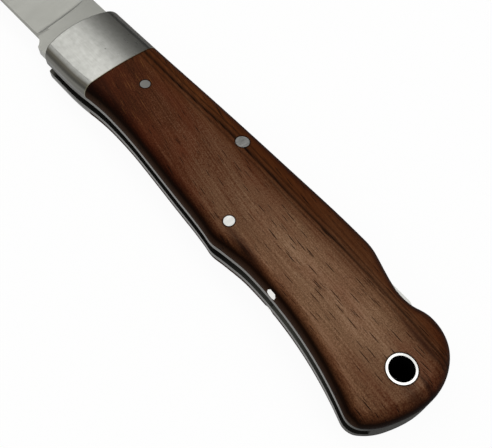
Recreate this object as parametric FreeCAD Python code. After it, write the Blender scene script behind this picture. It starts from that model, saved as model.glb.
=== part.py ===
# Folding pocket knife: steel bolsters, wooden scales and a rocker lock in its back.
# Lengths are in millimetres and angles in degrees. The knife lies open on its rear scale.
# The drawing's zero is the blade's pivot: X runs to the butt, Y to the back and Z to the front scale.
import FreeCAD
import Part
import math
import os

# Layers through the thickness
blade_thickness = 2.5
washer_thickness = 0.15
liner_thickness = 1.2
scale_thickness = 3.7
crown_radius = 70.0
shoulder_radius = 3.0
front_edge_radius = 0.5

# Handle outline, measured from the pivot
handle_front = 9.3
front_bulge = 1.9
bolster_rear = 8.5
bolster_drop = 9.5
handle_rear = 109.0
spine_rise = 12.3
spine_crown = 0.6
spine_crest = 50.0
scoop_inset = 16.5
scoop_run = 14.2
scoop_depth = 3.75
scoop_lead = 3.0
crest_inset = 10.6
crest_rise = 1.2
butt_drop = 2.6
heel_shoulder_inset = 2.2
heel_shoulder_rise = 4.8
heel_shoulder_lean = 24.0
heel_inset = 9.0
heel_drop = 16.55
palm_inset = 41.0
palm_drop = 10.6
swell_inset = 51.8
swell_drop = 11.8
swell_half = 3.0
swell_turn = 8.0
swell_front_run = 16.0
swell_front_rise = 1.75
waist_gap = 8.8
waist_drop = 8.3
underside_run = 16.8

# Pins and rivets
running_gap = 0.03
pivot_radius = 2.2
pivot_seat = 2.4
washer_radius = 5.5
rocker_radius = 1.575
rocker_at = (43.8, 8.8)
rivet_radius = 1.2
fore_rivet_at = (17.2, 2.4)
mid_rivet_at = (57.2, -6.8)
belly_rivet_at = (74.3, -10.3)
belly_rivet_tail = 0.45
belly_rivet_lift = 0.3
belly_rivet_seat = 2.1
belly_rivet_bevel = 0.5
hidden_pin_radius = 0.9
bolster_pin_seat = 1.8
bolster_pins_at = [(-4.0, 7.0), (4.6, -6.0)]

# Lanyard tube and butt spacer
tube_outer_radius = 3.0
tube_inner_radius = 2.55
tube_inset = 7.5
tube_drop = 3.5
spacer_length = 14.3
spacer_end_drop = 14.4
spacer_heel_drop = 7.0
spacer_heel_run = 1.6
spacer_foot_inset = 4.0
spacer_pin_inset = 5.0
spacer_pin_rise = 2.4
spacer_pin_drop = 9.6

# Blade
blade_back = 11.8
tip_gap = 1.9
tip_height = 1.8
back_straight = 47.0
belly_straight = 52.0
ricasso_length = 13.4
ricasso_gap = 0.9
edge_heel = 16.5
edge_gap = 0.7
choil_lean = -15.0
edge_thickness = 0.5
edge_angle = 20.0
edge_land = 0.06
distal_taper = 0.3
plunge_lean = 1.9
plunge_radius = 2.2
grind_wheel_radius = 150.0
nick_from_pivot = 33.0
nick_below_back = 1.3
nick_length = 12.0
nick_depth = 0.6
nick_slant = 35.0

# Tang and lock
tang_radius = 7.6
notch_front = 3.5
notch_rear = 0.5
notch_depth = 1.4
kick_from_pivot = 5.0
kick_run = 3.6
tooth_gap = 0.15
release_gap = 0.12
lock_side_gap = 0.05
lock_front_height = 2.8
lock_neck_run = 4.0
lock_waist_wall = 0.5
lock_waist_half = 6.0
lock_waist_blend = 8.0
lock_tail_height = 3.6
lock_tail_drop = 0.15
lock_tail_lead = 4.0
lock_nose_radius = 1.6
lock_heel_radius = 1.0
lock_end_gap = 0.35

# Lock spring
spring_thickness = 1.0
spring_seat = 5.6
spring_drop = 7.4
spring_reach = 22.2
spring_gap = 0.06

# Levels of the layers, counted up from the rear scale's crown
rear_liner_z = scale_thickness
slot_z = rear_liner_z + liner_thickness
slot_width = blade_thickness + 2 * washer_thickness
front_liner_z = slot_z + slot_width
front_scale_z = front_liner_z + liner_thickness
thickness = front_scale_z + scale_thickness
middle_z = thickness / 2

# Places that follow from the sizes above
corner_x = front_bulge - handle_front
scoop_low = handle_rear - scoop_inset
scoop_start = scoop_low - scoop_run
scoop_floor = spine_rise - scoop_depth
swell_x = handle_rear - swell_inset
waist_x = bolster_rear + waist_gap
tube_at = (handle_rear - tube_inset, -tube_drop)
spacer_front = handle_rear - spacer_length
spacer_pin_x = handle_rear - spacer_pin_inset
spacer_pins_at = [(spacer_pin_x, spacer_pin_rise), (spacer_pin_x, -spacer_pin_drop)]
blade_reach = spacer_front - tip_gap
notch_floor = tang_radius - notch_depth
tooth_low = notch_floor + tooth_gap
tooth_rear = notch_rear - tooth_gap
tooth_front = tooth_gap - notch_front
lock_lift = tang_radius + release_gap - tooth_low
lock_travel = math.degrees(math.asin(lock_lift / (rocker_at[0] - tooth_rear)))
lock_tail = spacer_front - lock_end_gap
front_under = blade_back - lock_front_height
waist_under = rocker_at[1] - rocker_radius - running_gap - lock_waist_wall
tail_under = blade_back - lock_tail_height
ricasso_drop = front_under - ricasso_gap
edge_drop = waist_under - edge_gap
spring_y = blade_back - spring_drop


def at(x, y, z=0.0):
    return FreeCAD.Vector(x, y, z)


def toward(heading):
    return at(math.cos(math.radians(heading)), math.sin(math.radians(heading)))


def slope(rise, run):
    return math.degrees(math.atan(rise / run))


def line(start, end):
    return Part.LineSegment(at(*start), at(*end)).toShape()


def chain(points):
    return [line(start, end) for start, end in zip(points, points[1:])]


def arc(start, middle, end):
    return Part.Arc(at(*start), at(*middle), at(*end)).toShape()


def leaving(start, direction, end):
    """Arc that leaves the start along the direction and stops at the end, or a line if that is straight."""
    chord = end - start
    along = chord / chord.Length
    aside = direction - along * direction.dot(along)
    if aside.Length < 1e-6:
        return Part.LineSegment(start, end).toShape()
    bend = math.atan2(aside.Length, direction.dot(along))
    sag = chord.Length / 2 * math.tan(bend / 2)
    return Part.Arc(start, (start + end) / 2 + aside * (sag / aside.Length), end).toShape()


def smooth(stations):
    """Two tangent arcs between each pair of stations, which are given as x, y and heading."""
    edges = []
    for (x0, y0, heading0), (x1, y1, heading1) in zip(stations, stations[1:]):
        start, end = at(x0, y0), at(x1, y1)
        out, into = toward(heading0), toward(heading1)
        step = end - start
        spread = 2 * (1 - out.dot(into))
        reach = step.dot(out + into)
        if spread < 1e-9:
            arm = step.dot(step) / (2 * reach)
        else:
            arm = (math.sqrt(reach * reach + spread * step.dot(step)) - reach) / spread
        joint = (start + out * arm + end - into * arm) / 2
        edges.append(leaving(start, out, joint))
        edges.append(leaving(end, -into, joint))
    return edges


def outline_face(edges):
    return Part.Face(Part.Wire(Part.__sortEdges__(edges)))


def slab(edges, low, high):
    """Plate with the given closed outline, between two levels."""
    plate = outline_face(edges).extrude(at(0, 0, high - low))
    plate.translate(at(0, 0, low))
    return plate


def box(low, high):
    return Part.makeBox(high[0] - low[0], high[1] - low[1], high[2] - low[2], at(*low))


def rod(centre, radius, low, high):
    return Part.makeCylinder(radius, high - low, at(centre[0], centre[1], low))


def rods(centres, radius, low, high):
    return Part.makeCompound([rod(centre, radius, low, high) for centre in centres])


def rear_side(shape):
    """The same piece on the other side of the blade."""
    return shape.mirror(at(0, 0, middle_z), at(0, 0, 1))


def handle_outline():
    """Closed edge of the handle: front arc, back, thumb scoop, butt, heel, palm, swell and finger hollow."""
    scoop_slope = slope(math.pi / 2 * scoop_depth, scoop_run)
    palm_slope = 2 * slope(heel_drop - palm_drop, palm_inset - heel_inset)
    swell_sag = swell_half * math.tan(math.radians(swell_turn))
    swell_slope = slope(swell_front_rise - swell_sag, swell_front_run - swell_half)
    stations = [
        (corner_x, spine_rise, 0),
        (spine_crest, spine_rise + spine_crown, 0),
        (scoop_start, spine_rise + spine_crown / 2, -scoop_lead),
        (scoop_start + scoop_run / 2, spine_rise - scoop_depth / 2, -scoop_slope),
        (scoop_low, scoop_floor, 0),
        (handle_rear - crest_inset, scoop_floor + crest_rise, 0),
        (handle_rear, -butt_drop, -90),
        (handle_rear - heel_shoulder_inset, heel_shoulder_rise - heel_drop, -90 - heel_shoulder_lean),
        (handle_rear - heel_inset, -heel_drop, -180 - palm_slope),
        (handle_rear - palm_inset, -palm_drop, -180),
        (swell_x + swell_half, swell_sag - swell_drop, swell_turn - 180),
        (swell_x, -swell_drop, -180),
        (swell_x - swell_half, swell_sag - swell_drop, -180 - swell_turn),
        (swell_x - swell_front_run, swell_front_rise - swell_drop, -180 - swell_slope),
        (waist_x, -waist_drop, -180),
        (waist_x - underside_run, -bolster_drop, -180),
        (corner_x, -bolster_drop, -180),
    ]
    front_middle = (-handle_front, (spine_rise - bolster_drop) / 2)
    front = arc((corner_x, -bolster_drop), front_middle, (corner_x, spine_rise))
    return smooth(stations) + [front]


def crown_block():
    """Long bar with an arched top, laid along the middle of the handle."""
    start = at(-handle_front, (spine_rise - bolster_drop) / 2)
    end = at(handle_rear, (scoop_floor - heel_drop) / 2)
    overrun = (end - start) * (handle_front / (handle_rear + handle_front))
    base = start - overrun
    half = spine_rise + heel_drop
    low_top = thickness - crown_radius + math.sqrt(crown_radius ** 2 - half ** 2)
    corners = [
        base + at(0, half, low_top),
        base + at(0, half, 0),
        base + at(0, -half, 0),
        base + at(0, -half, low_top),
    ]
    edges = chain([tuple(corner) for corner in corners])
    edges.append(arc(tuple(corners[0]), tuple(base + at(0, 0, thickness)), tuple(corners[3])))
    return outline_face(edges).extrude(end - start + overrun * 2)


def front_half():
    """Front side of the handle, from the slot to its crowned face, before it is divided."""
    block = slab(handle_outline(), front_liner_z, thickness).common(crown_block())
    crown = max(block.Faces, key=lambda face: face.CenterOfMass.z)
    sides = [edge for edge in crown.Edges if edge.CenterOfMass.x > corner_x]
    block = block.makeFillet(shoulder_radius, sides)
    crown = max(block.Faces, key=lambda face: face.CenterOfMass.z)
    front = [edge for edge in crown.Edges if edge.CenterOfMass.x < corner_x]
    return block.makeFillet(front_edge_radius, front)


def wide_box(x_low, x_high, z_low, z_high):
    """Cutting box that takes in the whole height of the handle."""
    reach = spine_rise + heel_drop
    return box((x_low, -reach, z_low), (x_high, reach, z_high))


def pivot_pin():
    return rod((0, 0), pivot_radius, rear_liner_z - pivot_seat, front_scale_z + pivot_seat)


def pivot_washer():
    ring = rod((0, 0), washer_radius, front_liner_z - washer_thickness, front_liner_z)
    return ring.cut(rod((0, 0), pivot_radius + running_gap, slot_z, front_scale_z))


def front_rivet(half, centre):
    """Short rivet through one scale and its liner, dressed flush with the scale."""
    return half.common(rod(centre, rivet_radius, front_liner_z, thickness))


def belly_rivet_blank():
    """Blind rivet with a thin tail in the liner and a bevelled head, before its head is dressed at the belly."""
    foot = front_scale_z + belly_rivet_lift
    head = rod(belly_rivet_at, rivet_radius, foot, front_scale_z + belly_rivet_seat)
    rims = [edge for edge in head.Edges if edge.isClosed()]
    tail = rod(belly_rivet_at, belly_rivet_tail, front_liner_z, foot)
    return head.makeChamfer(belly_rivet_bevel, rims).fuse(tail)


def bolster_pins():
    return rods(bolster_pins_at, hidden_pin_radius, front_liner_z, front_scale_z + bolster_pin_seat)


def spacer_pins():
    return rods(spacer_pins_at, hidden_pin_radius, rear_liner_z, front_scale_z)


def through_holes():
    """Everything that passes through both sides of the handle."""
    rocker = rod(rocker_at, rocker_radius, 0, thickness)
    tube = rod(tube_at, tube_outer_radius, 0, thickness)
    return Part.makeCompound([pivot_pin(), rocker, tube, spacer_pins()])


def rivet_holes():
    rivets = rods([fore_rivet_at, mid_rivet_at], rivet_radius, front_liner_z, thickness)
    return Part.makeCompound([rivets, belly_rivet_blank(), bolster_pins(), through_holes()])


def liner(half):
    plate = half.common(wide_box(-handle_front, handle_rear, front_liner_z, front_scale_z))
    return plate.cut(rivet_holes())


def bolster(half):
    return half.common(wide_box(-handle_front, bolster_rear, front_scale_z, thickness)).cut(rivet_holes())


def scale(half):
    return half.common(wide_box(bolster_rear, handle_rear, front_scale_z, thickness)).cut(rivet_holes())


def through_pin(half, centre, radius):
    """Pin through the whole handle, dressed flush with both scales."""
    ends = half.fuse(rear_side(half))
    core = rod(centre, radius, slot_z, front_liner_z)
    return core.fuse(ends.common(rod(centre, radius, 0, thickness))).removeSplitter()


def lanyard_tube(half):
    return through_pin(half, tube_at, tube_outer_radius).cut(rod(tube_at, tube_inner_radius, 0, thickness))


def butt_spacer():
    """Filler between the liners at the butt, with the seat of the spring sawn into its front."""
    foot = (handle_rear - spacer_foot_inset, -spacer_end_drop)
    region = chain([
        foot,
        (handle_rear, -spacer_end_drop),
        (handle_rear, spine_rise),
        (spacer_front, spine_rise),
        (spacer_front, spacer_heel_run - spacer_heel_drop),
        (spacer_front + spacer_heel_run, -spacer_heel_drop),
        foot,
    ])
    plate = slab(region, slot_z, front_liner_z).common(slab(handle_outline(), slot_z, front_liner_z))
    seat_low = (spacer_front, spring_y - spring_thickness / 2, slot_z)
    seat_high = (spacer_front + spring_seat, spring_y + spring_thickness / 2, front_liner_z)
    return plate.cut(box(seat_low, seat_high)).cut(through_holes())


def released(shape):
    """The lock bar as it stands with its tail pressed down, so that the blade can turn."""
    turned = shape.copy()
    turned.rotate(at(*rocker_at), at(0, 0, 1), -lock_travel)
    return turned


def lock_bar():
    """Rocker along the back: hooked tooth in front, bored waist, pressed tail over the scoop."""
    tail_top = blade_back - lock_tail_drop
    waist_front = rocker_at[0] - lock_waist_half
    waist_rear = rocker_at[0] + lock_waist_half
    neck_x = ricasso_length + lock_neck_run
    top = smooth([
        (tooth_front, blade_back, 0),
        (scoop_start, blade_back, 0),
        (scoop_low - lock_tail_lead, tail_top, 0),
        (lock_tail - lock_nose_radius, tail_top, 0),
        (lock_tail, tail_top - lock_nose_radius, -90),
    ])
    under = smooth([
        (lock_tail, tail_under + lock_heel_radius, -90),
        (lock_tail - lock_heel_radius, tail_under, -180),
        (waist_rear + lock_waist_blend, tail_under, -180),
        (waist_rear, waist_under, -180),
        (waist_front, waist_under, -180),
        (neck_x, front_under, -180),
    ])
    tooth = chain([
        (neck_x, front_under),
        (tooth_rear, front_under),
        (tooth_rear, tooth_low),
        (tooth_front, tooth_low),
        (tooth_front, blade_back),
    ])
    tail_end = [line((lock_tail, tail_top - lock_nose_radius), (lock_tail, tail_under + lock_heel_radius))]
    bar = slab(top + tail_end + under + tooth, slot_z + lock_side_gap, front_liner_z - lock_side_gap)
    bar = bar.cut(rod(rocker_at, rocker_radius + running_gap, slot_z, front_liner_z))
    return released(bar)


def lock_spring():
    """Leaf held in the spacer, bent up so that its nose bears on the underside of the lock bar."""
    half = spring_thickness / 2
    nose_x = rocker_at[0] + spring_reach
    nose_top = tail_under - spring_reach * math.tan(math.radians(lock_travel)) - spring_gap
    rise = nose_top - half - spring_y
    lean = 2 * slope(rise, spacer_front - nose_x)
    across = toward(90 - lean) * half
    nose = at(nose_x, spring_y + rise)
    high, low = nose + across, nose - across
    root_end = spacer_front + spring_seat
    edges = chain([
        (spacer_front, spring_y - half),
        (root_end, spring_y - half),
        (root_end, spring_y + half),
        (spacer_front, spring_y + half),
    ])
    edges.append(leaving(at(spacer_front, spring_y + half), at(-1, 0), high))
    edges.append(leaving(at(spacer_front, spring_y - half), at(-1, 0), low))
    tip = nose - toward(-lean) * half
    edges.append(arc(tuple(high), tuple(tip), tuple(low)))
    return slab(edges, slot_z + washer_thickness, front_liner_z - washer_thickness)


def tang_edges():
    """Rear of the blade: stop shoulder, lock notch, round tang, relief and kick."""
    shoulder = (-notch_front, blade_back)
    notch = [
        shoulder,
        (-notch_front, notch_floor),
        (notch_rear, notch_floor),
        (notch_rear, math.sqrt(tang_radius ** 2 - notch_rear ** 2)),
    ]
    relief_x = math.sqrt(tang_radius ** 2 - notch_floor ** 2)
    round_tang = arc(notch[-1], (tang_radius, 0), (relief_x, -notch_floor))
    kick_top = kick_run - kick_from_pivot
    relief = line((relief_x, -notch_floor), (kick_top, -notch_floor))
    kick = smooth([
        (kick_top, -notch_floor, -180),
        (-kick_from_pivot, -ricasso_drop, -180),
    ])
    return chain(notch) + [round_tang, relief] + kick


def blade_outline():
    """Straight back, drop point, curved belly, choil and ricasso, closed by the tang."""
    tip = (-blade_reach, tip_height)
    back_end = (-back_straight, blade_back)
    belly_end = (-belly_straight, -edge_drop)
    choil = (-ricasso_length, -ricasso_drop)
    heel = (-edge_heel, -edge_drop)
    return [
        line((-notch_front, blade_back), back_end),
        leaving(at(*back_end), at(-1, 0), at(*tip)),
        leaving(at(*belly_end), at(-1, 0), at(*tip)),
        line(belly_end, heel),
        leaving(at(*heel), toward(choil_lean), at(*choil)),
        line(choil, (-kick_from_pivot, -ricasso_drop)),
    ] + tang_edges()


def grind_tool():
    """Grinding wheel laid against the front of the blade, with its rounded rim at the plunge line."""
    face_z = front_liner_z - washer_thickness
    low = at(-edge_heel, -edge_drop, middle_z + edge_thickness / 2)
    high = at(-edge_heel, blade_back, face_z)
    chord = high - low
    normal = at(0, -chord.z, chord.y) / chord.Length
    stand_off = math.sqrt(grind_wheel_radius ** 2 - (chord.Length / 2) ** 2)
    centre = (low + high) / 2 + normal * stand_off
    wheel_length = blade_reach + edge_heel
    lean = plunge_lean / (blade_back + edge_drop)
    axis = at(-1, -lean, -distal_taper / (blade_reach - edge_heel))
    centre.x = centre.x - lean * edge_drop
    wheel = Part.makeCylinder(grind_wheel_radius, wheel_length, centre, axis)
    rims = [edge for edge in wheel.Edges if edge.isClosed()]
    plunge_rim = max(rims, key=lambda edge: edge.CenterOfMass.x)
    return wheel.makeFillet(plunge_radius, [plunge_rim])


def edge_bevel():
    """Wedge that sharpens the front of the edge, straight as far as the belly and then round to the tip."""
    tilt = math.tan(math.radians(edge_angle))
    reach = blade_thickness / 2 / tilt
    outer_y = -edge_drop - edge_land
    inner_y = reach - edge_drop
    base_z = middle_z + edge_land / 2
    low = (-belly_straight, outer_y, base_z - edge_land * tilt)
    high = (-belly_straight, inner_y, base_z + reach * tilt)
    corner = (-belly_straight, outer_y, high[2])
    profile = outline_face(chain([low, high, corner, low]))
    straight = profile.extrude(at(belly_straight - edge_heel, 0, 0))
    run, rise = blade_reach - belly_straight, tip_height + edge_drop
    belly_radius = (run ** 2 + rise ** 2) / (2 * rise)
    turn = 2 * slope(rise, run) + slope(reach, belly_radius)
    belly_centre = at(-belly_straight, belly_radius - edge_drop)
    return straight.fuse(profile.revolve(belly_centre, at(0, 0, 1), -turn))


def nail_nick():
    """Half-moon cutter for the nail, slanted so that the mark is deepest toward the back."""
    cutter_radius = nick_length ** 2 / (8 * nick_depth) + nick_depth / 2
    disc = Part.makeCylinder(cutter_radius, nick_depth * 2, at(0, 0, 0), at(0, -1, 0))
    disc.rotate(at(0, 0, 0), at(1, 0, 0), -nick_slant)
    lift = (cutter_radius - nick_depth) * math.cos(math.radians(nick_slant))
    shift = (cutter_radius - nick_depth) * math.sin(math.radians(nick_slant))
    face_z = front_liner_z - washer_thickness
    disc.translate(at(-nick_from_pivot, blade_back - nick_below_back + shift, face_z + lift))
    return disc


def blade():
    plate = slab(blade_outline(), slot_z + washer_thickness, front_liner_z - washer_thickness)
    for tool in (grind_tool(), edge_bevel()):
        plate = plate.cut(tool).cut(rear_side(tool))
    plate = plate.cut(rod((0, 0), pivot_radius + running_gap, slot_z, front_liner_z))
    return plate.cut(nail_nick())


half = front_half()
pieces = {
    "blade": blade(),
    "lock_bar": lock_bar(),
    "lock_spring": lock_spring(),
    "butt_spacer": butt_spacer(),
    "front_liner": liner(half),
    "front_bolster": bolster(half),
    "front_scale": scale(half),
    "front_pivot_washer": pivot_washer(),
    "front_bolster_pins": bolster_pins(),
    "front_fore_rivet": front_rivet(half, fore_rivet_at),
    "front_mid_rivet": front_rivet(half, mid_rivet_at),
    "front_belly_rivet": half.common(belly_rivet_blank()),
    "pivot_pin": pivot_pin(),
    "rocker_pin": through_pin(half, rocker_at, rocker_radius),
    "lanyard_tube": lanyard_tube(half),
    "spacer_pins": spacer_pins(),
}
for name in [name for name in pieces if name.startswith("front_")]:
    pieces[name.replace("front_", "rear_")] = rear_side(pieces[name])

# The row's origin is under the middle of the open knife, on the surface that it lies on
extent = Part.makeCompound(list(pieces.values())).optimalBoundingBox(False)
origin = at((extent.XMin + extent.XMax) / 2, (extent.YMin + extent.YMax) / 2, extent.ZMin)

os.makedirs("parts", exist_ok=True)
for name, piece in pieces.items():
    piece.translate(-origin)
    piece.exportStep(f"parts/{name}.step")
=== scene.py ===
# Folding pocket knife, open on a pale table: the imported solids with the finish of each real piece.
import math

import bpy
from mathutils import Matrix, Vector


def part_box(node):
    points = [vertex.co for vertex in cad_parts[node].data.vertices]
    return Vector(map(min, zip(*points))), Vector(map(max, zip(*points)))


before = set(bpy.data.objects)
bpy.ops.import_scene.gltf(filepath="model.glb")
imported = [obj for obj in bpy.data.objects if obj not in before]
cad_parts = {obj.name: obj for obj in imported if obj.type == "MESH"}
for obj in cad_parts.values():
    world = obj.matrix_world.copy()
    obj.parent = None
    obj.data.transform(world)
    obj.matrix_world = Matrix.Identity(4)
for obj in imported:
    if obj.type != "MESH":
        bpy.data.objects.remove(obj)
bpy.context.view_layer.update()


# Liners and butt spacer
# Two plates of stainless sheet carry every other piece, and a filler of the same steel joins them at the
# butt. They are blanked, ground flat and dressed on a belt together, so lines run along their edges.
MM = 0.001


def linear(code):
    """Linear colour of an sRGB hex value."""
    parts = [int(code[i:i + 2], 16) / 255 for i in (1, 3, 5)]
    lit = [part / 12.92 if part <= 0.04045 else ((part + 0.055) / 1.055) ** 2.4 for part in parts]
    return (*lit, 1.0)


def add(tree, kind, links=None, **settings):
    """One node with its settings. An input takes a value, an output, or a node's first output in use."""
    node = tree.nodes.new("ShaderNode" + kind)
    for name, value in settings.items():
        setattr(node, name, value)
    for name, value in (links or {}).items():
        if isinstance(value, bpy.types.Node):
            value = next(output for output in value.outputs if output.enabled)
        if isinstance(value, bpy.types.NodeSocket):
            tree.links.new(value, node.inputs[name])
        else:
            node.inputs[name].default_value = value
    return node


def new_material(name):
    """A material with no nodes yet, and its node tree."""
    material = bpy.data.materials.new(name)
    material.use_nodes = True
    material.node_tree.nodes.clear()
    return material, material.node_tree


def cover(material, *names):
    """Give CAD pieces their finish."""
    for name in names:
        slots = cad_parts[name].data.materials
        slots.clear()
        slots.append(material)


def per_mm(*sizes):
    """Scale at which one unit of a pattern has these sizes in millimetres."""
    return [1 / (size * MM) for size in sizes]


def sheet_steel():
    # Ground sheet is dull grey, with lines along its edges, which are darker toward the front end, and
    # darker and less metallic toward the butt as painted shade. Its faces are painted near black as shade
    # in the slot, paler in the slot's middle, and bare at the front end.
    # The real lines are about 0.02 mm wide and are drawn coarser so that they show.
    edge_light, edge_dark, fore_edge, butt_shade_edge = "#6e6d69", "#5b5a56", "#45443f", "#2e2d2a"
    fore_from, fore_to, butt_from, butt_to = 2 * MM, -3 * MM, 89 * MM, 97 * MM
    slot_shade_face, slot_lit_face, slot_lit_at, slot_lit_reach = "#191816", "#50504a", 71 * MM, 20 * MM
    rubbed_from, rubbed_to = -13 * MM, -14.5 * MM
    level_face, leaning_edge, butt_shade_dulling = 0.9, 0.7, 0.8
    line_size, line_depth, line_relief = (6.0, 0.12, 0.12), 0.01 * MM, 0.3
    smoothest, roughest = 0.3, 0.5
    material, tree = new_material("stainless_sheet_ground")
    place = add(tree, "TexCoord")
    axes = add(tree, "SeparateXYZ", {"Vector": place.outputs["Object"]})
    facing = add(tree, "SeparateXYZ", {"Vector": place.outputs["Normal"]})
    drawn = add(tree, "Mapping", {"Vector": place.outputs["Object"], "Scale": per_mm(*line_size)})
    lines = add(tree, "TexNoise", {"Vector": drawn, "Scale": 1.0, "Detail": 3.0})

    edge = add(tree, "Mix", {"Factor": lines, "A": linear(edge_dark), "B": linear(edge_light)},
               data_type="RGBA")
    at_fore = add(tree, "MapRange", {"Value": axes.outputs["X"], "From Min": fore_from,
                                     "From Max": fore_to})
    edge = add(tree, "Mix", {"Factor": at_fore, "A": edge, "B": linear(fore_edge)}, data_type="RGBA")
    # Painted shade: the edges darken and lose their metal toward the butt
    butt_shade = add(tree, "MapRange", {"Value": axes.outputs["X"], "From Min": butt_from,
                                     "From Max": butt_to})
    edge = add(tree, "Mix", {"Factor": butt_shade, "A": edge, "B": linear(butt_shade_edge)}, data_type="RGBA")

    # Painted shade: faces in the slot are near black, painted lighter toward its middle
    in_slot = add(tree, "Mapping", {"Vector": place.outputs["Object"], "Location": (slot_lit_at, 0, 0),
                                    "Scale": (slot_lit_reach, 1, 1)}, vector_type="TEXTURE")
    slot_lit = add(tree, "TexGradient", {"Vector": in_slot}, gradient_type="SPHERICAL")
    face = add(tree, "Mix", {"Factor": slot_lit.outputs["Fac"], "A": linear(slot_shade_face),
                             "B": linear(slot_lit_face)}, data_type="RGBA")

    flat = add(tree, "Math", {0: facing.outputs["Z"]}, operation="ABSOLUTE")
    bare = add(tree, "MapRange", {"Value": flat, "From Min": level_face, "From Max": leaning_edge})
    rubbed = add(tree, "MapRange", {"Value": axes.outputs["X"], "From Min": rubbed_from,
                                    "From Max": rubbed_to})
    bare = add(tree, "Math", {0: bare, 1: rubbed}, operation="MAXIMUM")
    tone = add(tree, "Mix", {"Factor": bare, "A": face, "B": edge}, data_type="RGBA")
    shade_dimmed = add(tree, "Math", {0: butt_shade, 1: -butt_shade_dulling, 2: 1.0}, operation="MULTIPLY_ADD")
    bright = add(tree, "Math", {0: bare, 1: shade_dimmed}, operation="MULTIPLY")
    rough = add(tree, "MapRange", {"Value": lines, "To Min": smoothest, "To Max": roughest})
    bump = add(tree, "Bump", {"Height": lines, "Strength": line_relief, "Distance": line_depth})
    shader = add(tree, "BsdfPrincipled", {"Base Color": tone, "Metallic": bright, "Roughness": rough,
                                          "Specular IOR Level": 0.0, "Normal": bump})
    add(tree, "OutputMaterial", {"Surface": shader})
    return material


cover(sheet_steel(), "front_liner", "rear_liner", "butt_spacer")


# Lock bar and lock spring
# The bar rocks on a pin in the back and hooks into the tang, and a leaf of spring steel lifts its tail.
# Both are blanked, hardened and rubbed along their length, and the spring keeps a blue temper colour.
def rubbed_steel(name, light, dark, roughness, line_size):
    """Metal rubbed with paper, in lines of the given size along X, Y and Z in millimetres."""
    # Rubbing leaves soft clouds and fine lines that scatter the light. The real lines are about 0.02 mm
    # wide, and the sizes given are coarser so that they show.
    cloud_size, line_depth, line_relief = 5.0, 0.004 * MM, 0.2
    line_share, roughness_swing = 0.5, 0.2
    faint_line, strong_line = 0.25, 0.75
    material, tree = new_material(name)
    place = add(tree, "TexCoord")
    drawn = add(tree, "Mapping", {"Vector": place.outputs["Object"], "Scale": per_mm(*line_size)})
    lines = add(tree, "TexNoise", {"Vector": drawn, "Scale": 1.0, "Detail": 3.0})
    cloud = add(tree, "TexNoise", {"Vector": place.outputs["Object"], "Scale": 1 / (cloud_size * MM),
                                   "Detail": 4.0})
    mottle = add(tree, "Math", {0: lines, 1: line_share, 2: -line_share / 2}, operation="MULTIPLY_ADD")
    shade = add(tree, "Math", {0: cloud, 1: mottle}, operation="ADD", use_clamp=True)
    tone = add(tree, "Mix", {"Factor": shade, "A": linear(dark), "B": linear(light)}, data_type="RGBA")
    rough = add(tree, "MapRange", {"Value": lines, "From Min": faint_line, "From Max": strong_line,
                                   "To Min": roughness * (1 - roughness_swing),
                                   "To Max": roughness * (1 + roughness_swing)})
    bump = add(tree, "Bump", {"Height": lines, "Strength": line_relief, "Distance": line_depth})
    shader = add(tree, "BsdfPrincipled", {"Base Color": tone, "Metallic": 1.0, "Roughness": rough,
                                          "Normal": bump})
    add(tree, "OutputMaterial", {"Surface": shader})
    return material


# Rubbed bright: pale, with soft lines along the bar
cover(rubbed_steel("lock_steel_rubbed", "#c4c4c0", "#aeaeaa", roughness=0.3, line_size=(5.0, 0.15, 0.15)),
      "lock_bar")
# Tempered: a dull blue grey
cover(rubbed_steel("spring_steel_tempered", "#83868c", "#6c6e74", roughness=0.4, line_size=(6.0, 0.2, 0.2)),
      "lock_spring")


# Pivot pin and washers
# The blade turns on a ground pin between two thin washers of bronze, which keep it off the liners.
# The washers are punched from rolled strip, and the pin is headed inside the bolsters, out of sight.

# Rolled: warm and dull, with lines along the strip
cover(rubbed_steel("washer_bronze_rolled", "#a37a45", "#8b6537", roughness=0.4,
                   line_size=(5.0, 0.15, 0.15)), "front_pivot_washer", "rear_pivot_washer")
# Ground: grey and close to a mirror, with lines along the pin
cover(rubbed_steel("pivot_steel_ground", "#a6a6a2", "#94948f", roughness=0.25, line_size=(0.1, 0.1, 4.0)),
      "pivot_pin")


# Blade
# One piece of hardened steel, hollow ground on a wheel, with a flat ricasso and a nail nick near the back.
# The wheel leaves a satin grey with faint lines from back to edge.
cover(rubbed_steel("blade_steel_satin", "#969690", "#898983", roughness=0.36, line_size=(0.14, 8.0, 8.0)),
      "blade")


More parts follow.
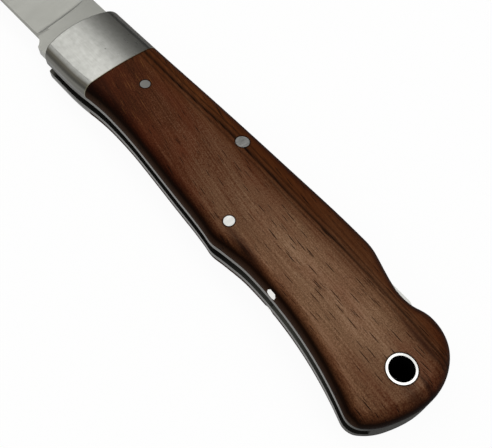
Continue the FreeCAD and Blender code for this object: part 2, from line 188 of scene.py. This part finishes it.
# Bolsters and their pins
# Two blocks of stainless steel are pinned to the liners round the pivot and shaped with the scales.
# A worn belt leaves them satin, cloudy and soft in the highlight, with a few pits.
def bolster_steel():
    # Satin steel is pale, with lines along the knife. Painted shade darkens its rounded edges, its
    # underside and its back, and a painted reflection makes it paler toward the scales. The real lines are
    # about 0.02 mm wide and are drawn coarser so that they show.
    light, dark, pit, glue_line = "#a9a9a4", "#8d8d88", "#454440", "#857f68"
    line_size, line_depth, line_relief, line_share = (3.0, 0.16, 0.16), 0.01 * MM, 0.25, 0.7
    cloud_size, fore_shade, rear_shade = 1.4, -0.45, -0.2
    pit_spacing, pit_rim, pit_floor, pit_darkness = 4.5, 0.05, 0.02, 0.7
    glue_width = 0.25 * MM
    smoothest, roughest = 0.26, 0.34
    material, tree = new_material("bolster_steel_satin")
    place = add(tree, "TexCoord")
    axes = add(tree, "SeparateXYZ", {"Vector": place.outputs["Object"]})
    facing = add(tree, "SeparateXYZ", {"Vector": place.outputs["Normal"]})
    front_end, rear_end = (corner.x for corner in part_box("front_bolster"))

    # Clouds and lines, with pits here and there, and a painted reflection that makes them a little paler
    # toward the scales
    drawn = add(tree, "Mapping", {"Vector": place.outputs["Object"], "Scale": per_mm(*line_size)})
    lines = add(tree, "TexNoise", {"Vector": drawn, "Scale": 1.0, "Detail": 3.0})
    cloud = add(tree, "TexNoise", {"Vector": place.outputs["Object"], "Scale": 1 / (cloud_size * MM),
                                   "Detail": 5.0})
    paler = add(tree, "MapRange", {"Value": axes.outputs["X"], "From Min": front_end, "From Max": rear_end,
                                   "To Min": fore_shade, "To Max": rear_shade})
    mottle = add(tree, "Math", {0: lines, 1: line_share, 2: paler}, operation="MULTIPLY_ADD")
    shade = add(tree, "Math", {0: cloud, 1: mottle}, operation="ADD", use_clamp=True)
    tone = add(tree, "Mix", {"Factor": shade, "A": linear(dark), "B": linear(light)}, data_type="RGBA")
    spots = add(tree, "TexVoronoi", {"Vector": place.outputs["Object"], "Scale": 1 / (pit_spacing * MM)})
    pits = add(tree, "MapRange", {"Value": spots, "From Min": pit_rim, "From Max": pit_floor,
                                  "To Max": pit_darkness})
    pitted = add(tree, "Mix", {"Factor": pits, "A": tone, "B": linear(pit)}, data_type="RGBA")

    # Painted shade by the way that the surface faces: wall, edge and crown, upper back edge, and underside,
    # with a painted lighter band on the wall
    painted_wall_shade, wall_light, painted_edge_shade, painted_round_shade = "#4f4e49", "#6c6b65", "#4e4d48", "#5a574e"
    painted_flank_tones = ((0.45, wall_light), (0.6, painted_edge_shade), (0.8, painted_round_shade))
    painted_back_shade, back_from, back_to, upper_from, upper_to = "#28231a", 0.05, 0.35, 0.1, 0.35
    painted_under_shade, under_from, under_to = "#302f2b", 0.0, -0.1
    flat = add(tree, "Math", {0: facing.outputs["Z"]}, operation="ABSOLUTE")
    flank = add(tree, "ValToRGB", {"Fac": flat})
    flank.color_ramp.elements[0].color = linear(painted_wall_shade)
    flank.color_ramp.elements[1].color = linear(painted_round_shade)
    for position, code in painted_flank_tones:
        flank.color_ramp.elements.new(position).color = linear(code)
    behind = add(tree, "MapRange", {"Value": facing.outputs["Y"], "From Min": back_from,
                                    "From Max": back_to})
    upper = add(tree, "MapRange", {"Value": facing.outputs["Z"], "From Min": upper_from,
                                   "From Max": upper_to})
    behind = add(tree, "Math", {0: behind, 1: upper}, operation="MULTIPLY")
    painted_shade = add(tree, "Mix", {"Factor": behind, "A": flank, "B": linear(painted_back_shade)}, data_type="RGBA")
    below = add(tree, "MapRange", {"Value": facing.outputs["Z"], "From Min": under_from,
                                   "From Max": under_to})
    painted_shade = add(tree, "Mix", {"Factor": below, "A": painted_shade, "B": linear(painted_under_shade)}, data_type="RGBA")

    # The painted shade covers what is rounded, and half covers the crown toward the back
    crown, edge_start = 0.97, 0.85
    crown_shade_from, crown_shade_to, crown_shade_strength = 4.5 * MM, 11 * MM, 0.5
    rounded = add(tree, "MapRange", {"Value": flat, "From Min": crown, "From Max": edge_start})
    crown_shade = add(tree, "MapRange", {"Value": axes.outputs["Y"], "From Min": crown_shade_from, "From Max": crown_shade_to,
                                    "To Max": crown_shade_strength})
    shade_cover = add(tree, "Math", {0: rounded, 1: crown_shade}, operation="MAXIMUM")
    shaded = add(tree, "Mix", {"Factor": shade_cover, "A": pitted, "B": painted_shade}, data_type="RGBA")
    at_joint = add(tree, "MapRange", {"Value": axes.outputs["X"], "From Min": rear_end - glue_width,
                                      "From Max": rear_end})
    shaded = add(tree, "Mix", {"Factor": at_joint, "A": shaded, "B": linear(glue_line)}, data_type="RGBA")

    # Painted shade on the upper back edge, where most of the metal is taken away
    metal_shade_from, metal_shade_to, metal_shade_cover = 0.9, 0.6, 0.8
    metal_shaded = add(tree, "MapRange", {"Value": flat, "From Min": metal_shade_from, "From Max": metal_shade_to,
                                   "To Max": -metal_shade_cover})
    bright = add(tree, "Math", {0: metal_shaded, 1: behind, 2: 1.0}, operation="MULTIPLY_ADD")
    rough = add(tree, "MapRange", {"Value": shade, "To Min": roughest, "To Max": smoothest})
    relief = add(tree, "Math", {0: lines, 1: pits}, operation="SUBTRACT")
    bump = add(tree, "Bump", {"Height": relief, "Strength": line_relief, "Distance": line_depth})
    shader = add(tree, "BsdfPrincipled", {"Base Color": shaded, "Metallic": bright, "Roughness": rough,
                                          "Specular IOR Level": 0.0, "Normal": bump})
    add(tree, "OutputMaterial", {"Surface": shader})
    return material


cover(bolster_steel(), "front_bolster", "rear_bolster")
# Drawn: grey, with lines along the pin
cover(rubbed_steel("dowel_steel_drawn", "#a6a6a2", "#94948f", roughness=0.3, line_size=(0.1, 0.1, 3.0)),
      "front_bolster_pins", "rear_bolster_pins", "spacer_pins")


# Scales
# Two slabs of walnut are glued and riveted to the liners, shaped with them on a belt and rubbed with oil.
# The grain runs from the bolster to the butt in a slow curve, and a dark streak lies along the back.
def walnut():
    # Oiled open grain has hardly any gloss: fibres, dark pores and painted shade on the rounded edges show
    material, tree = new_material("walnut_oiled")
    place = add(tree, "TexCoord")
    point = place.outputs["Object"]
    axes = add(tree, "SeparateXYZ", {"Vector": point})
    facing = add(tree, "SeparateXYZ", {"Vector": place.outputs["Normal"]})

    # The year rings are wide arcs about a heart far behind the back, and they waver a little
    waver, waver_size, heart = 2.4, (34, 12, 12), Vector((123, 482, 6))
    broad = add(tree, "Mapping", {"Vector": point, "Scale": per_mm(*waver_size)})
    drift = add(tree, "TexNoise", {"Vector": broad, "Scale": 1.0, "Detail": 1.0})
    swayed = add(tree, "VectorMath", {0: drift.outputs["Color"], 1: (0, waver * MM, 0), 2: point},
                 operation="MULTIPLY_ADD")
    ring = add(tree, "VectorMath", {0: swayed, 1: heart * MM}, operation="DISTANCE")
    grain = add(tree, "CombineXYZ", {"X": axes.outputs["X"], "Y": ring, "Z": axes.outputs["Z"]})

    # Growth bands, fibres and a fine sandy speckle. Real fibres are about 0.03 mm wide, and these and the
    # speckle are drawn coarser so that they show.
    band_size, fibre_size, speckle_size = (60, 4.5, 9), (12, 0.35, 0.5), 0.25
    streak = add(tree, "Mapping", {"Vector": grain, "Scale": per_mm(*band_size)})
    bands = add(tree, "TexNoise", {"Vector": streak, "Scale": 1.0, "Detail": 3.0, "Roughness": 0.55})
    thread = add(tree, "Mapping", {"Vector": grain, "Scale": per_mm(*fibre_size)})
    fibres = add(tree, "TexNoise", {"Vector": thread, "Scale": 1.0, "Detail": 3.0, "Roughness": 0.6})
    speckle = add(tree, "TexNoise", {"Vector": point, "Scale": 1 / (speckle_size * MM), "Detail": 2.0})

    # Tone: dark at the bolster and paler toward the butt, partly the wood's own tone and partly a painted
    # sheen, but dimmer again at its end. Painted shade also makes it darker toward the belly near the
    # bolster, and toward the back further on.
    pale_from, pale_to, bolster_level, butt_level = 0.0, 64 * MM, -1.02, -0.22
    dim_from, dim_to, dimming = 82 * MM, 100 * MM, -0.35
    shade_lean_from, shade_lean_to, fore_shade_lean, rear_shade_lean = 4 * MM, 60 * MM, 20.0, -9.0
    band_share, fibre_share, speckle_share = 0.5, 0.75, 0.9
    darkest, palest = "#2e170d", "#8b6d56"
    wood_tones = ((0.25, "#452615"), (0.42, "#553523"), (0.66, "#694d39"), (0.89, "#7c6049"))
    paler = add(tree, "MapRange", {"Value": axes.outputs["X"], "From Min": pale_from, "From Max": pale_to,
                                   "To Min": bolster_level, "To Max": butt_level})
    shade_lean = add(tree, "MapRange", {"Value": axes.outputs["X"], "From Min": shade_lean_from, "From Max": shade_lean_to,
                                  "To Min": fore_shade_lean, "To Max": rear_shade_lean})
    leaned_shade = add(tree, "Math", {0: axes.outputs["Y"], 1: shade_lean}, operation="MULTIPLY")
    dimmer = add(tree, "MapRange", {"Value": axes.outputs["X"], "From Min": dim_from, "From Max": dim_to,
                                    "To Max": dimming})
    level = add(tree, "Math", {0: paler, 1: leaned_shade}, operation="ADD")
    level = add(tree, "Math", {0: level, 1: dimmer}, operation="ADD")
    for pattern, share in ((bands, band_share), (fibres, fibre_share), (speckle, speckle_share)):
        level = add(tree, "Math", {0: pattern, 1: share, 2: level}, operation="MULTIPLY_ADD")
    tone = add(tree, "ValToRGB", {"Fac": level})
    tone.color_ramp.elements[0].color = linear(darkest)
    tone.color_ramp.elements[1].color = linear(palest)
    for position, code in wood_tones:
        tone.color_ramp.elements.new(position).color = linear(code)

    # Redder patches
    patch_size, patch_red, patch_from, patch_to, patch_strength = (16, 5, 8), "#5a2a18", 0.42, 0.7, 0.35
    patch = add(tree, "Mapping", {"Vector": grain, "Scale": per_mm(*patch_size)})
    blush = add(tree, "TexNoise", {"Vector": patch, "Scale": 1.0, "Detail": 2.0})
    redder = add(tree, "MapRange", {"Value": blush, "From Min": patch_from, "From Max": patch_to,
                                    "To Max": patch_strength})
    tinted = add(tree, "Mix", {"Factor": redder, "A": tone, "B": linear(patch_red)}, data_type="RGBA")

    # Dark streak along the back, in an arc of its own: orange brown wood with two or three ink lines in it
    ink_radius, ink_reach, ink_dark = 735.0, 5.0, "#120804"
    ink_top = Vector((12, 10.4, 6))
    ink_centre = ink_top + Vector((0, waver / 2 - ink_radius, 0))
    back_dark, back_light, back_from, back_to, back_strength = "#2e170a", "#683c1d", 0.05, 0.72, 0.95
    fade_from, fade_to, fade_left = 40 * MM, 75 * MM, 0.75
    offset = add(tree, "VectorMath", {0: swayed, 1: ink_centre * MM}, operation="DISTANCE")
    rank = add(tree, "MapRange", {"Value": offset, "From Min": (ink_radius - ink_reach) * MM,
                                  "From Max": (ink_radius + ink_reach) * MM})
    along_back = add(tree, "MapRange", {"Value": rank, "From Min": back_from, "From Max": back_to,
                                        "To Max": back_strength}, interpolation_type="SMOOTHSTEP")
    fading = add(tree, "MapRange", {"Value": axes.outputs["X"], "From Min": fade_from, "From Max": fade_to,
                                    "To Min": 1.0, "To Max": fade_left})
    along_back = add(tree, "Math", {0: along_back, 1: fading}, operation="MULTIPLY")
    back_wood = add(tree, "Mix", {"Factor": fibres, "A": linear(back_dark), "B": linear(back_light)},
                    data_type="RGBA")
    backed = add(tree, "Mix", {"Factor": along_back, "A": tinted, "B": back_wood}, data_type="RGBA")

    # Each ink line is a peak across the streak, ragged and broken along the fibres
    ink_lines = ((0.38, 0.0), (0.42, 0.6), (0.45, 0.05), (0.49, 0.1), (0.52, 1.0), (0.54, 1.0), (0.59, 0.2),
                 (0.63, 0.0), (0.66, 0.7), (0.7, 0.0))
    raggedness, gap_fibre, whole_fibre, gap_left = 0.06, 0.3, 0.6, 0.4
    ragged = add(tree, "Math", {0: fibres, 1: raggedness, 2: rank}, operation="MULTIPLY_ADD")
    ink = add(tree, "ValToRGB", {"Fac": ragged})
    ink.color_ramp.elements[1].color = (0, 0, 0, 1)
    for position, depth in ink_lines:
        ink.color_ramp.elements.new(position).color = (depth, depth, depth, 1)
    broken = add(tree, "MapRange", {"Value": fibres, "From Min": gap_fibre, "From Max": whole_fibre,
                                    "To Min": gap_left})
    ink_depth = add(tree, "Math", {0: ink, 1: broken}, operation="MULTIPLY")
    ink_depth = add(tree, "Math", {0: ink_depth, 1: fading}, operation="MULTIPLY")
    inked = add(tree, "Mix", {"Factor": ink_depth, "A": backed, "B": linear(ink_dark)}, data_type="RGBA")

    # Dark smears on the front slab, where knots lay near: one by the belly and three round the tube.
    # Each has its middle, its half length and half width, its turn in degrees and its darkness.
    smears = (((55, -6.7), (8, 1.3), -6, 0.9), ((93, 5.0), (7.5, 1.0), -6, 0.75),
              ((98.5, -0.5), (3.4, 0.9), -13, 0.85), ((97.4, -3.6), (4.5, 2.2), -10, 0.45))
    smear_dark, smear_height, smear_depth, smear_core = "#23110e", 12.0, 4.0, 0.2
    smeared = inked
    for middle, size, turn, darkness in smears:
        knot, knot_size = Vector((*middle, smear_height)) * MM, Vector((*size, smear_depth)) * MM
        near_knot = add(tree, "Mapping", {"Vector": point, "Location": knot, "Scale": knot_size,
                                          "Rotation": (0, 0, math.radians(turn))}, vector_type="TEXTURE")
        from_knot = add(tree, "VectorMath", {0: near_knot}, operation="LENGTH")
        smear = add(tree, "MapRange", {"Value": from_knot, "From Min": 1.0, "From Max": smear_core,
                                       "To Max": darkness})
        smear = add(tree, "Math", {0: smear, 1: broken}, operation="MULTIPLY")
        smeared = add(tree, "Mix", {"Factor": smear, "A": smeared, "B": linear(smear_dark)},
                      data_type="RGBA")

    # Pores: vessels cut along the grain, long ones more common toward the butt and short ticks all over
    long_size, short_size = (5, 0.26, 0.8), (1.7, 0.34, 0.6)
    share_from, share_to, fore_share, butt_share = 8 * MM, 60 * MM, 0.2, 0.8
    long_reach, long_edge = 0.4, 9.0
    tick_rim, tick_core, tick_darkness = 0.26, 0.1, 0.4
    long_cell = add(tree, "Mapping", {"Vector": grain, "Scale": per_mm(*long_size)})
    vessels = add(tree, "TexVoronoi", {"Vector": long_cell, "Scale": 1.0})
    draw = add(tree, "SeparateColor", {"Color": vessels.outputs["Color"]})
    share = add(tree, "MapRange", {"Value": axes.outputs["X"], "From Min": share_from, "From Max": share_to,
                                   "To Min": fore_share, "To Max": butt_share})
    open_here = add(tree, "Math", {0: draw.outputs["Red"], 1: share}, operation="LESS_THAN")
    reach = add(tree, "Math", {0: draw.outputs["Green"], 1: long_reach}, operation="MULTIPLY")
    within = add(tree, "Math", {0: reach, 1: vessels}, operation="SUBTRACT")
    dash = add(tree, "Math", {0: within, 1: long_edge}, operation="MULTIPLY", use_clamp=True)
    long_pores = add(tree, "Math", {0: dash, 1: open_here}, operation="MULTIPLY")
    short_cell = add(tree, "Mapping", {"Vector": grain, "Scale": per_mm(*short_size)})
    ticks = add(tree, "TexVoronoi", {"Vector": short_cell, "Scale": 1.0})
    short_pores = add(tree, "MapRange", {"Value": ticks, "From Min": tick_rim, "From Max": tick_core,
                                         "To Max": tick_darkness})
    pores = add(tree, "Math", {0: long_pores, 1: short_pores}, operation="MAXIMUM")

    # By the bolster some vessels are cut on the slant, and their pale walls show as golden flecks
    fleck_gold, fleck_strength, fleck_share = "#7d5630", 0.4, 0.5
    fleck_from, fleck_to = 36 * MM, 10 * MM
    slanted = add(tree, "Math", {0: draw.outputs["Blue"], 1: fleck_share}, operation="GREATER_THAN")
    by_bolster = add(tree, "MapRange", {"Value": axes.outputs["X"], "From Min": fleck_from,
                                        "From Max": fleck_to, "To Max": fleck_strength})
    flecks = add(tree, "Math", {0: dash, 1: slanted}, operation="MULTIPLY")
    flecks = add(tree, "Math", {0: flecks, 1: by_bolster}, operation="MULTIPLY")
    flecked = add(tree, "Mix", {"Factor": flecks, "A": smeared, "B": linear(fleck_gold)}, data_type="RGBA")

    # Painted shade darkens the rounded edges, less so on the back and at the butt
    slope_power, darkening_from, darkening_to, fore_darkening, rear_darkening = 0.45, 20 * MM, 50 * MM, 0.9, 1.65
    back_turn, butt_start, butt_end = 0.3, 0.1, 0.5
    back_darkening, butt_darkening = 0.6, 0.6
    flat = add(tree, "Math", {0: facing.outputs["Z"]}, operation="ABSOLUTE")
    slope = add(tree, "Math", {0: 1.0, 1: flat}, operation="SUBTRACT", use_clamp=True)
    slope = add(tree, "Math", {0: slope, 1: slope_power}, operation="POWER")
    shaded = add(tree, "MapRange", {"Value": axes.outputs["X"], "From Min": darkening_from, "From Max": darkening_to,
                                  "To Min": fore_darkening, "To Max": rear_darkening})
    shaded = add(tree, "Math", {0: slope, 1: shaded}, operation="MULTIPLY")
    back_side = add(tree, "MapRange", {"Value": facing.outputs["Y"], "From Min": 0.0, "From Max": back_turn,
                                       "To Min": 1.0, "To Max": back_darkening})
    edge_gamma = add(tree, "Math", {0: shaded, 1: back_side}, operation="MULTIPLY")
    butt_shade = add(tree, "MapRange", {"Value": facing.outputs["X"], "From Min": butt_start,
                                     "From Max": butt_end, "To Min": 1.0, "To Max": butt_darkening})
    edge_gamma = add(tree, "Math", {0: edge_gamma, 1: butt_shade, 2: 1.0}, operation="MULTIPLY_ADD")
    edged = add(tree, "Gamma", {"Color": flecked, "Gamma": edge_gamma})

    # The walls of the slabs are painted nearly black as shade, and browner along the belly as a painted
    # reflection of the table
    slab_wall_shade, belly_wall_reflection, wall_shade_strength = "#0b0300", "#2e1d12", 0.95
    side_shoulder, butt_shoulder, side_wall, butt_wall = 0.93, 0.84, 0.68, 0.5
    belly_from, belly_to = -0.8, -1.0
    shoulder = add(tree, "MapRange", {"Value": facing.outputs["X"], "From Min": butt_start,
                                      "From Max": butt_end, "To Min": side_shoulder,
                                      "To Max": butt_shoulder})
    wall = add(tree, "MapRange", {"Value": facing.outputs["X"], "From Min": butt_start,
                                  "From Max": butt_end, "To Min": side_wall, "To Max": butt_wall})
    steep = add(tree, "MapRange", {"Value": flat, "From Min": shoulder, "From Max": wall,
                                   "To Max": wall_shade_strength})
    steep = add(tree, "Math", {0: steep, 1: back_side}, operation="MULTIPLY")
    at_belly = add(tree, "MapRange", {"Value": facing.outputs["Y"], "From Min": belly_from,
                                      "From Max": belly_to})
    wall_shade_tone = add(tree, "Mix", {"Factor": at_belly, "A": linear(slab_wall_shade), "B": linear(belly_wall_reflection)},
                data_type="RGBA")
    edged = add(tree, "Mix", {"Factor": steep, "A": edged, "B": wall_shade_tone}, data_type="RGBA")

    # Dirt in the joints: a thin line at the bolster and a ring round each pin
    joint_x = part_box("front_scale")[0].x
    gap_width, gap_darkness, dirt_dark = 0.4 * MM, 0.9, "#0f0704"
    dirt = add(tree, "MapRange", {"Value": axes.outputs["X"], "From Min": joint_x + gap_width,
                                  "From Max": joint_x, "To Max": gap_darkness})
    dark_marks = add(tree, "Math", {0: pores, 1: dirt}, operation="MAXIMUM")
    level_with = add(tree, "Mapping", {"Vector": point, "Scale": (1, 1, 0)})
    for pin in ("front_fore_rivet", "front_mid_rivet", "rocker_pin", "lanyard_tube"):
        low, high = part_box(pin)
        centre, radius = (low + high) / 2, (high.x - low.x) / 2
        from_pin = add(tree, "VectorMath", {0: level_with, 1: (centre.x, centre.y, 0)},
                       operation="DISTANCE")
        dirt = add(tree, "MapRange", {"Value": from_pin, "From Min": radius + gap_width,
                                      "From Max": radius + gap_width / 4, "To Max": gap_darkness})
        dark_marks = add(tree, "Math", {0: dark_marks, 1: dirt}, operation="MAXIMUM")
    marked = add(tree, "Mix", {"Factor": dark_marks, "A": edged, "B": linear(dirt_dark)}, data_type="RGBA")

    # Fibres stand a little proud and pores are open, and the oil leaves them nearly matt
    fibre_rise, relief_strength, relief_depth = 0.3, 0.5, 0.05 * MM
    smoothest, roughest, oil_ior, oil_gloss = 0.5, 0.68, 1.45, 0.02
    height = add(tree, "Math", {0: fibres, 1: fibre_rise}, operation="MULTIPLY")
    height = add(tree, "Math", {0: height, 1: pores}, operation="SUBTRACT")
    bump = add(tree, "Bump", {"Height": height, "Strength": relief_strength, "Distance": relief_depth})
    rough = add(tree, "MapRange", {"Value": fibres, "To Min": smoothest, "To Max": roughest})
    shader = add(tree, "BsdfPrincipled", {"Base Color": marked, "Roughness": rough, "IOR": oil_ior,
                                          "Specular IOR Level": oil_gloss, "Normal": bump})
    add(tree, "OutputMaterial", {"Surface": shader})
    return material


cover(walnut(), "front_scale", "rear_scale")


# Rivets and rocker pin
# Short rivets hold each scale to its liner, and the lock rocks on a pin that goes through the whole handle.
# They are bright drawn wire, peened and dressed flush with the wood, so their ends are round and smooth.
pin_lines = (0.5, 3.0, 3.0)
# All three are the same drawn steel, painted darker or paler for the light that falls on each pin
# Painted shade: dull and dark grey
cover(rubbed_steel("pin_steel_painted_shade", "#7b7a76", "#6c6b67", roughness=0.36, line_size=pin_lines),
      "front_fore_rivet", "rear_fore_rivet")
# Painted lighter: pale grey, with a soft sheen
cover(rubbed_steel("pin_steel_painted_light", "#c2c2be", "#b4b4b0", roughness=0.36, line_size=pin_lines),
      "rocker_pin", "front_mid_rivet", "rear_mid_rivet")
# Painted highlight on the rivets at the rounded edge: nearly white
cover(rubbed_steel("pin_steel_painted_highlight", "#eeeeea", "#e4e4e0", roughness=0.15, line_size=pin_lines),
      "front_belly_rivet", "rear_belly_rivet")


# Lanyard tube
# A thin drawn tube is pressed through the butt for a cord, and dressed flush with both scales.
# Its ring is polished with the scales, and its bore is painted nearly black as shade.
def tube_steel():
    # Polished steel is bright and close to a mirror. Its polishing marks are far below 0.1 mm, and they are
    # drawn as a coarser grain in the gloss so that they show.
    ring_light, bore_shade = "#cacac6", "#060606"
    grain_size, smoothest, roughest = 0.25, 0.12, 0.26
    bore_wall, ring_face = 0.4, 0.7
    material, tree = new_material("tube_steel_polished")
    place = add(tree, "TexCoord")
    grain = add(tree, "TexNoise", {"Vector": place.outputs["Object"], "Scale": 1 / (grain_size * MM),
                                   "Detail": 2.0})
    facing = add(tree, "SeparateXYZ", {"Vector": place.outputs["Normal"]})
    flat = add(tree, "Math", {0: facing.outputs["Z"]}, operation="ABSOLUTE")
    # Painted shade: the bore wall is nearly black and not metallic
    ring = add(tree, "MapRange", {"Value": flat, "From Min": bore_wall, "From Max": ring_face})
    tone = add(tree, "Mix", {"Factor": ring, "A": linear(bore_shade), "B": linear(ring_light)},
               data_type="RGBA")
    rough = add(tree, "MapRange", {"Value": grain, "To Min": smoothest, "To Max": roughest})
    shader = add(tree, "BsdfPrincipled", {"Base Color": tone, "Metallic": ring, "Roughness": rough,
                                          "Specular IOR Level": 0.0})
    add(tree, "OutputMaterial", {"Surface": shader})
    return material


cover(tube_steel(), "lanyard_tube")


# Table
# A wide board painted matt white, which the camera and the polished pieces see as a white ground. A little
# of it takes the light, for the knife's shadow, and all of it does below the lanyard tube, for a dark bore.
table_size, table_drop, table_white, table_glow = 6.0, 0.00005, "#eeeeec", 0.94
bpy.ops.object.select_all(action="DESELECT")
bpy.ops.mesh.primitive_plane_add(size=table_size, location=(0, 0, -table_drop))
table = bpy.context.object
table.name = "table"
table_paint, paint = new_material("table_paint_matt")
ray = add(paint, "LightPath").outputs
seen = add(paint, "Math", {0: ray["Is Camera Ray"], 1: ray["Is Glossy Ray"]}, operation="ADD")
seen = add(paint, "Math", {0: seen, 1: ray["Is Transmission Ray"]}, operation="ADD", use_clamp=True)
glow = add(paint, "Math", {0: seen, 1: table_glow}, operation="MULTIPLY")
tube_low, tube_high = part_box("lanyard_tube")
tube_foot = (tube_low + tube_high) / 2 * Vector((1, 1, 0))
tube_radius = (tube_high.x - tube_low.x) / 2
on_table = add(paint, "TexCoord")
from_tube = add(paint, "VectorMath", {0: on_table.outputs["Object"], 1: tube_foot}, operation="DISTANCE")
clear = add(paint, "Math", {0: from_tube, 1: tube_radius}, operation="GREATER_THAN")
glow = add(paint, "Math", {0: glow, 1: clear}, operation="MULTIPLY")
matt = add(paint, "BsdfDiffuse", {"Color": linear(table_white)})
white = add(paint, "Emission", {"Color": (1, 1, 1, 1), "Strength": 1.0})
board = add(paint, "MixShader", {0: glow, 1: matt, 2: white})
add(paint, "OutputMaterial", {"Surface": board})
table.data.materials.append(table_paint)


# Studio light
# A long soft panel hangs over the knife, to the side of its back, with a weak one on the other side. The
# walls are white to a low height and grey above it, and a dark card stands past the back, toward the tip.
panel_height, wall_light, card_light = 0.8, 0.58, 0.07
panels = (((-2.2, 0.08), (2.2, 0.52), 1.6), ((-2.2, -2.2), (1.5, -0.1), 0.45))
for low, high, light in panels:
    panel_size = (Vector(high) - Vector(low)) * panel_height
    panel_middle = (Vector(high) + Vector(low)) / 2 * panel_height
    bpy.ops.object.light_add(type="AREA", location=(*panel_middle, panel_height))
    panel = bpy.context.object.data
    panel.shape = "RECTANGLE"
    panel.size = panel_size.x
    panel.size_y = panel_size.y
    panel.energy = light * math.pi * panel_size.x * panel_size.y

# Edges of the white wall and of the card, as parts of the direction that light comes from
white_from, white_to = 0.17, 0.1
card_tip_from, card_tip_to, card_back_from, card_back_to = -0.12, -0.3, 0.2, 0.45
bpy.context.scene.world = bpy.data.worlds.new("room")
bpy.context.scene.world.use_nodes = True
room = bpy.context.scene.world.node_tree
view_way = add(room, "TexCoord")
way = add(room, "SeparateXYZ", {"Vector": view_way.outputs["Generated"]})
low_wall = add(room, "MapRange", {"Value": way.outputs["Z"], "From Min": white_from, "From Max": white_to})
past_tip = add(room, "MapRange", {"Value": way.outputs["X"], "From Min": card_tip_from,
                                  "From Max": card_tip_to})
past_back = add(room, "MapRange", {"Value": way.outputs["Y"], "From Min": card_back_from,
                                   "From Max": card_back_to, "To Max": card_light - wall_light})
high_wall = add(room, "Math", {0: past_tip, 1: past_back, 2: wall_light}, operation="MULTIPLY_ADD")
walls = add(room, "Math", {0: low_wall, 1: high_wall}, operation="MAXIMUM")
room.links.new(walls.outputs[0], room.nodes["Background"].inputs["Strength"])
room.nodes["Background"].inputs["Color"].default_value = (1, 1, 1, 1)


# Camera
# It stands close over the butt and looks down along the handle, as the photograph was taken.
lens_mm, sensor_mm, nearest = 49.14, 36.0, 10 * MM
camera_place = Vector((100.69, -49.53, 131.78)) * MM
camera_aim = Vector((52.01, -3.0, 12.6)) * MM
camera_roll = math.radians(2.27)
bpy.ops.object.camera_add()
camera = bpy.context.object
camera.data.lens = lens_mm
camera.data.sensor_width = sensor_mm
camera.data.clip_start = nearest
turn = (camera_aim - camera_place).to_track_quat("-Z", "Y").to_matrix().to_4x4()
camera.matrix_world = Matrix.Translation(camera_place) @ turn @ Matrix.Rotation(camera_roll, 4, "Z")
bpy.context.scene.camera = camera
bpy.context.scene.view_settings.view_transform = "Standard"
